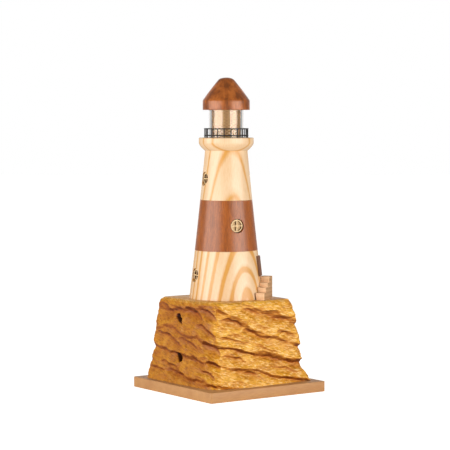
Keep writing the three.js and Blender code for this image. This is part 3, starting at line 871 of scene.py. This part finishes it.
class LIGHTHOUSE_OT_tower(bpy.types.Operator):
    """Turn the two pine pieces and the mahogany band, and bore their window holes"""

    bl_idname = "lighthouse.tower"
    bl_label = "Tower"

    steps = 160
    bore_radius = 6.5 * MM
    bore_length = 20 * MM
    rim_bottom = 228.5 * MM  # where the deck's upright rim starts
    rim_ease = 0.8 * MM

    def wall(self, bottom, top, rows):
        heights = [bottom + (top - bottom) * i / rows for i in range(rows + 1)]
        return [(wall_radius(height), height) for height in heights]

    def bored(self, piece):
        """Bores every window hole that lies in a piece."""
        low, high = piece.bound_box[0][2], piece.bound_box[6][2]
        for name, angle in WINDOWS.items():
            place = box_middle(f"window_frame_{name}")
            if not low < place.z < high:
                continue
            floor = box_middle(f"window_pane_{name}") - AXIS
            depth = math.hypot(floor.x, floor.y) - 0.7 * MM
            bm = bmesh.new()
            bmesh.ops.create_cone(
                bm, cap_ends=True, segments=56, radius1=self.bore_radius, radius2=self.bore_radius,
                depth=self.bore_length, matrix=looking_out(angle, depth + self.bore_length / 2, place.z),
            )
            with_boolean(piece, to_piece(bm, "bore", ["burnt ply edge"]), "DIFFERENCE")
        piece.data.shade_smooth()
        piece.data.set_sharp_from_angle(angle=math.radians(30))
        return piece

    def execute(self, context):
        line = 0.12 * MM  # a hair of shadow at each glue line
        ease = 0.3 * MM
        lower = [(0, FOOT), (wall_radius(FOOT) - ease, FOOT)]
        lower += [*self.wall(FOOT + ease, BAND_BOTTOM - line, 18)]
        lower += [(lower[-1][0] - line, BAND_BOTTOM), (0, BAND_BOTTOM)]
        band = [(0, BAND_BOTTOM), (wall_radius(BAND_BOTTOM) - line, BAND_BOTTOM)]
        band += [*self.wall(BAND_BOTTOM + line, BAND_TOP - line, 18)]
        band += [(band[-1][0] - line, BAND_TOP), (0, BAND_TOP)]
        under_rim = (DECK_RADIUS - 0.1 * MM, self.rim_bottom - 2.9 * MM)
        deck = curve((NECK_RADIUS, NECK_HEIGHT), under_rim, (DECK_RADIUS, self.rim_bottom), 10)
        deck += arc((DECK_RADIUS - self.rim_ease, DECK_TOP - self.rim_ease), self.rim_ease, 0, 90, 4)
        upper = [(0, BAND_TOP), (wall_radius(BAND_TOP) - line, BAND_TOP)]
        upper += [*self.wall(BAND_TOP + line, NECK_HEIGHT, 18), *deck, (0, DECK_TOP)]
        pieces = (
            ("tower_lower", lower, "lower pine", "pine", "lower_tower"),
            ("tower_band", band, "band mahogany", "mahogany", "middle_band"),
            ("tower_upper", upper, "upper pine", "pine", "upper_tower"),
        )
        for name, profile, finish, slot, cad_node in pieces:
            hand_in(self.bored(to_piece(spun(profile, self.steps), name, [finish], 30)), slot, cad_node)
        for cad_node in ("foot_dowel", "band_dowel"):
            piece = to_piece(copy_of_node(cad_node), f"{cad_node}_wood", ["beech dowel"])
            hand_in(piece, "dowel_beech", cad_node)
        return {"FINISHED"}


class LIGHTHOUSE_OT_windows(bpy.types.Operator):
    """Cut the window frames from ply, with burnt edges, and set a pane behind each"""

    bl_idname = "lighthouse.windows"
    bl_label = "Windows"

    sheet = 1.6 * MM  # thickness of the ply

    def frame_piece(self, name, rim, bar, radius, depth):
        """A ring with crossed bars, facing +X at the origin."""
        inner, half = radius - rim, depth / 2
        section = [(inner, -half), (radius, -half), (radius, half), (inner, half), (inner, -half)]
        ring = spun(section, 64, Vector((0, 0, 0)))
        made = to_piece(ring, name, ["laser-cut birch ply", "burnt ply edge"])
        reach = radius - rim / 2
        for size in ((reach, bar / 2), (bar / 2, reach)):
            bm = bmesh.new()
            add_box(bm, (-size[0], -size[1], -half), (size[0], size[1], half))
            with_boolean(made, to_piece(bm, "bar", []), "UNION")
        return made

    def execute(self, context):
        fittings = settings()[2]
        for name, angle in WINDOWS.items():
            cad_frame, cad_pane = f"window_frame_{name}", f"window_pane_{name}"
            middle = box_middle(cad_frame)
            low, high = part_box(cad_frame)
            radius = (high.z - low.z) / 2
            out = math.hypot(middle.x - AXIS.x, middle.y - AXIS.y)
            made = self.frame_piece(f"window_{name}", fittings.rim, fittings.bar, radius, self.sheet)
            made.data.transform(looking_out(angle, out, middle.z))
            made.data.shade_smooth()
            made.data.set_sharp_from_angle(angle=math.radians(30))
            second_finish(made, angle, False)
            hand_in(made, "laser_cut_ply", cad_frame)
            pane = to_piece(copy_of_node(cad_pane), f"pane_{name}", ["window pane ply"])
            hand_in(pane, "pane_ply", cad_pane)
        return {"FINISHED"}


class LIGHTHOUSE_OT_stair(bpy.types.Operator):
    """Ease the edges of the four slabs of the stair"""

    bl_idname = "lighthouse.stair"
    bl_label = "Stair"

    def execute(self, context):
        for i in range(1, 5):
            bm = copy_of_node(f"stair_step_{i}")
            soften(bm, 0.3 * MM, segments=2, sharper_than=40)
            piece = to_piece(bm, f"step_{i}", ["pale stair slabs", "stair sides in painted shade"])
            # The sides that look out from the tower get the darker copy of the slab wood: painted shade.
            second_finish(piece, STAIR_ANGLE, True)
            hand_in(piece, "stair_ply", f"stair_step_{i}")
        return {"FINISHED"}


class LIGHTHOUSE_OT_door(bpy.types.Operator):
    """Make the leaning door of upright planks"""

    bl_idname = "lighthouse.door"
    bl_label = "Door"

    width = 11.5 * MM
    thick = 1.1 * MM  # outside the wall
    sunk = 0.5 * MM  # into the wall

    def execute(self, context):
        fittings = settings()[2]
        low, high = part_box("door")
        planks = round(self.width / fittings.plank)
        bm = bmesh.new()
        for i in range(planks):
            side = -self.width / 2 + self.width * i / planks
            add_box(bm, (-self.sunk, side, 0), (self.thick, side + self.width / planks, high.z - low.z))
        soften(bm, 0.18 * MM, segments=2)
        for vert in bm.verts:
            vert.co.x += wall_radius(low.z + vert.co.z)
        bm.transform(facing(DOOR_ANGLE, low.z))
        door = to_piece(bm, "plank_door", ["brown stained ply"])
        hand_in(door, "door_ply", "door")
        return {"FINISHED"}


class LIGHTHOUSE_OT_lantern(bpy.types.Operator):
    """Make the lantern's golden core, the diamond mesh round it and the clear tube"""

    bl_idname = "lighthouse.lantern"
    bl_label = "Lantern"

    sheet = 0.32 * MM  # thickness of the mesh's strands
    ease = 0.25 * MM  # of the tube's edges

    def strands(self, bottom, top):
        """Flat strands that climb both ways round the core and make diamonds where they cross."""
        fittings = settings()[2]
        cells = (top - bottom) / fittings.cell
        sweep = FULL_TURN / fittings.strands * cells
        steps = math.ceil(cells * 3)
        half, thick = fittings.strand / 2, self.sheet
        bm = bmesh.new()
        for way in (1, -1):
            inner = MESH_RADIUS - thick - (0.12 * MM if way == 1 else 0)
            for i in range(fittings.strands):
                corners = ((inner, -half), (inner + thick, -half), (inner + thick, half), (inner, half))
                verts = [bm.verts.new((x, 0, bottom + z)) for x, z in corners]
                face = bm.faces.new(verts)
                start = [*verts, *face.edges, face]
                turn = Matrix.Rotation(FULL_TURN * (i + 0.5) / fittings.strands, 3, "Z")
                bmesh.ops.rotate(bm, verts=verts, cent=(0, 0, 0), matrix=turn)
                bmesh.ops.spin(
                    bm, geom=start, cent=(0, 0, 0), axis=(0, 0, 1), dvec=(0, 0, (top - bottom) / steps),
                    angle=way * sweep, steps=steps, use_merge=False,
                )
        for plane, side in ((bottom + 0.05 * MM, -1), (top - 0.05 * MM, 1)):
            cut = bmesh.ops.bisect_plane(
                bm, geom=bm.verts[:] + bm.edges[:] + bm.faces[:], plane_co=(0, 0, plane),
                plane_no=(0, 0, side), clear_outer=True,
            )
            rim = [e for e in cut["geom_cut"] if isinstance(e, bmesh.types.BMEdge)]
            bmesh.ops.holes_fill(bm, edges=rim, sides=0)
        bmesh.ops.recalc_face_normals(bm, faces=bm.faces)
        bmesh.ops.translate(bm, verts=bm.verts, vec=AXIS)
        return bm

    def execute(self, context):
        bottom, top = DECK_TOP, ROOF_LOW.z
        foot, head = (corner.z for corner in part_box("lantern_core"))
        core = spun([(0, foot), (CORE_RADIUS, foot), (CORE_RADIUS, head), (0, head)], 96)
        hand_in(to_piece(core, "core", ["golden oak core"]), "core_wood", "lantern_core")
        mesh = to_piece(self.strands(bottom, top), "brass_mesh", ["bright brass mesh"])
        hand_in(mesh, "brass_mesh", "lantern_mesh")
        ease, inner, outer = self.ease, MESH_RADIUS + 0.4 * MM, TUBE_RADIUS
        section = [
            (inner, bottom + ease), (inner + ease, bottom), (outer - ease, bottom), (outer, bottom + ease),
            (outer, top - ease), (outer - ease, top), (inner + ease, top), (inner, top - ease),
        ]
        tube = to_piece(spun(section + section[:1], 128), "clear_tube", ["polished clear acrylic"], 30)
        hand_in(tube, "clear_tube", "lantern_tube")
        return {"FINISHED"}


class LIGHTHOUSE_OT_railing(bpy.types.Operator):
    """Bend one row of welded wire mesh round the gallery"""

    bl_idname = "lighthouse.railing"
    bl_label = "Railing"

    ring_heights = (234.9 * MM, 241.0 * MM)

    def execute(self, context):
        fittings = settings()[2]
        wire = fittings.wire / 2
        radius = RAIL_RADIUS - wire
        bm = bmesh.new()
        for height in self.ring_heights:
            upright = Matrix.Translation((radius, 0, height)) @ Matrix.Rotation(math.pi / 2, 4, "X")
            ring = bmesh.ops.create_circle(bm, segments=10, radius=wire, matrix=upright)["verts"]
            loop = list(dict.fromkeys(e for v in ring for e in v.link_edges))
            bmesh.ops.spin(
                bm, geom=ring + loop, cent=(0, 0, 0), axis=(0, 0, 1), angle=FULL_TURN, steps=120,
                use_merge=True,
            )
        length_up = RAIL_TOP - DECK_TOP
        for i in range(fittings.posts):
            angle = (i + 0.75) * FULL_TURN / fittings.posts
            sway = 0.012 * noise.noise(Vector((i * 3.7, 0.5, 0.2)))
            middle = Matrix.Translation((radius - 0.5 * wire, 0, DECK_TOP + length_up / 2))
            lean = Matrix.Rotation(2 * sway, 4, "X")
            bmesh.ops.create_cone(
                bm, cap_ends=True, segments=10, radius1=wire, radius2=wire, depth=length_up - 0.1 * MM,
                matrix=Matrix.Rotation(angle + sway, 4, "Z") @ middle @ lean,
            )
        bmesh.ops.recalc_face_normals(bm, faces=bm.faces)
        bmesh.ops.translate(bm, verts=bm.verts, vec=AXIS)
        hand_in(to_piece(bm, "wire_railing", ["black coated wire"], 50), "black_wire", "gallery_railing")
        return {"FINISHED"}


class LIGHTHOUSE_OT_roof(bpy.types.Operator):
    """Turn the roof: a band, a crisp shoulder and a cone with a rounded tip"""

    bl_idname = "lighthouse.roof"
    bl_label = "Roof"

    def execute(self, context):
        low, top = ROOF_LOW.z, ROOF_HIGH.z
        radius, ease = ROOF_RADIUS, 0.5 * MM
        shoulder, nose = (20.8 * MM, 268.2 * MM), (7.2 * MM, 285.9 * MM)
        profile = [(0, low), (radius - ease, low), *arc((radius - ease, low + ease), ease, -60, 0, 3)]
        profile += [(radius, low + 4 * MM), (radius, low + 7.6 * MM)]
        profile += curve(profile[-1], (radius - 0.05 * MM, low + 8.9 * MM), shoulder, 5)
        profile += curve(shoulder, (14.4 * MM, 277.4 * MM), nose, 14)
        profile += curve(nose, (5 * MM, top), (0, top), 10)
        roof = to_piece(spun(profile, 160), "turned_roof", ["roof mahogany"], 30)
        hand_in(roof, "mahogany", "roof")
        return {"FINISHED"}


class LIGHTHOUSE_OT_stage(bpy.types.Operator):
    """Set the white floor, the two softboxes, the white room and the camera"""

    bl_idname = "lighthouse.stage"
    bl_label = "Studio"

    def softbox(self, name, azimuth, width, height, level, radiance):
        """A softbox at an angle to the right of the camera's direction, aimed at the tower."""
        reach = 1.0
        data = bpy.data.lights.new(name, "AREA")
        data.shape = "RECTANGLE"
        data.size, data.size_y = width, height
        data.energy = radiance * math.pi * width * height
        data.color = (1.0, 0.985, 0.965)
        light = bpy.data.objects.new(name, data)
        bpy.context.scene.collection.objects.link(light)
        angle = settings()[3].azimuth + azimuth
        light.location = AXIS + Vector((math.sin(angle), -math.cos(angle), 0)) * reach + Vector((0, 0, level))
        aim = AXIS + Vector((0, 0, 0.15)) - light.location
        light.rotation_euler = aim.to_track_quat("-Z", "Y").to_euler()
        light.visible_camera = False

    def room(self):
        """A dim room with a white backdrop behind the object. The lens sees it all as white."""
        studio = settings()[3]
        world = bpy.data.worlds.new("white room")
        bpy.context.scene.world = world
        world.use_nodes = True
        tree = world.node_tree
        tree.nodes.clear()
        away = (-math.sin(studio.azimuth), math.cos(studio.azimuth), 0)
        direction = add(tree, "ShaderNodeTexCoord").outputs["Generated"]
        behind = vector_node(tree, "DOT_PRODUCT", direction, away)
        limits = {"From Min": 0.7, "From Max": 0.96, "To Min": studio.sky_light, "To Max": 1.0}
        backdrop = add(tree, "ShaderNodeMapRange", {"Value": behind, **limits}).outputs[0]
        seen = add(tree, "ShaderNodeLightPath").outputs["Is Camera Ray"]
        strength = math_node(tree, "MAXIMUM", backdrop, seen)
        glow = add(tree, "ShaderNodeBackground", {"Color": linear("#FFFFFF"), "Strength": strength})
        add(tree, "ShaderNodeOutputWorld", {"Surface": glow.outputs[0]})

    def camera(self):
        studio = settings()[3]
        data = bpy.data.cameras.new("camera")
        data.lens, data.sensor_width = studio.focal, 36.0
        camera = bpy.data.objects.new("camera", data)
        bpy.context.scene.collection.objects.link(camera)
        back = Vector((math.sin(studio.azimuth), -math.cos(studio.azimuth), 0))
        right = Vector((math.cos(studio.azimuth), math.sin(studio.azimuth), 0))
        aside = -1.14 * MM
        camera.location = AXIS + back * studio.distance + right * aside + Vector((0, 0, studio.height))
        look = -back * math.cos(studio.pitch) - Vector((0, 0, math.sin(studio.pitch)))
        camera.rotation_euler = look.to_track_quat("-Z", "Y").to_euler()
        bpy.context.scene.camera = camera

    def execute(self, context):
        radiance = settings()[3].box_light
        bm = bmesh.new()
        bmesh.ops.create_circle(bm, cap_ends=True, segments=96, radius=6.0)
        floor = to_piece(bm, "floor", ["white paper"])
        self.softbox("left softbox", math.radians(-58), 1.3, 0.5, 0.25, radiance)
        self.softbox("right softbox", math.radians(52), 0.95, 0.5, 0.25, radiance * 1.1)
        self.room()
        self.camera()
        bpy.context.scene.view_settings.view_transform = "Standard"
        return {"FINISHED"}


class LIGHTHOUSE_PT_panel(bpy.types.Panel):
    """Lists the pieces in the order in which they are made"""

    bl_label = "Wooden lighthouse"
    bl_idname = "LIGHTHOUSE_PT_panel"
    bl_space_type = "VIEW_3D"
    bl_region_type = "UI"
    bl_category = "Lighthouse"

    def draw(self, context):
        for group in settings():
            column = self.layout.column(align=True)
            for key in group.__annotations__:
                column.prop(group, key)
        for step in STEPS:
            self.layout.operator(step.bl_idname)


GROUPS = {
    "lighthouse_timber": LighthouseTimber,
    "lighthouse_carving": LighthouseCarving,
    "lighthouse_fittings": LighthouseFittings,
    "lighthouse_studio": LighthouseStudio,
}
STEPS = (
    LIGHTHOUSE_OT_stage,
    LIGHTHOUSE_OT_board,
    LIGHTHOUSE_OT_rock,
    LIGHTHOUSE_OT_tower,
    LIGHTHOUSE_OT_windows,
    LIGHTHOUSE_OT_stair,
    LIGHTHOUSE_OT_door,
    LIGHTHOUSE_OT_lantern,
    LIGHTHOUSE_OT_railing,
    LIGHTHOUSE_OT_roof,
)


def register():
    for entry in (*GROUPS.values(), *STEPS, LIGHTHOUSE_PT_panel):
        bpy.utils.register_class(entry)
    for name, group in GROUPS.items():
        setattr(bpy.types.Scene, name, PointerProperty(type=group))


def unregister():
    for name in GROUPS:
        delattr(bpy.types.Scene, name)
    for entry in reversed((*GROUPS.values(), *STEPS, LIGHTHOUSE_PT_panel)):
        bpy.utils.unregister_class(entry)


def main():
    register()
    for step in STEPS:
        family, name = step.bl_idname.split(".")
        getattr(getattr(bpy.ops, family), name)()


if __name__ == "__main__":
    main()
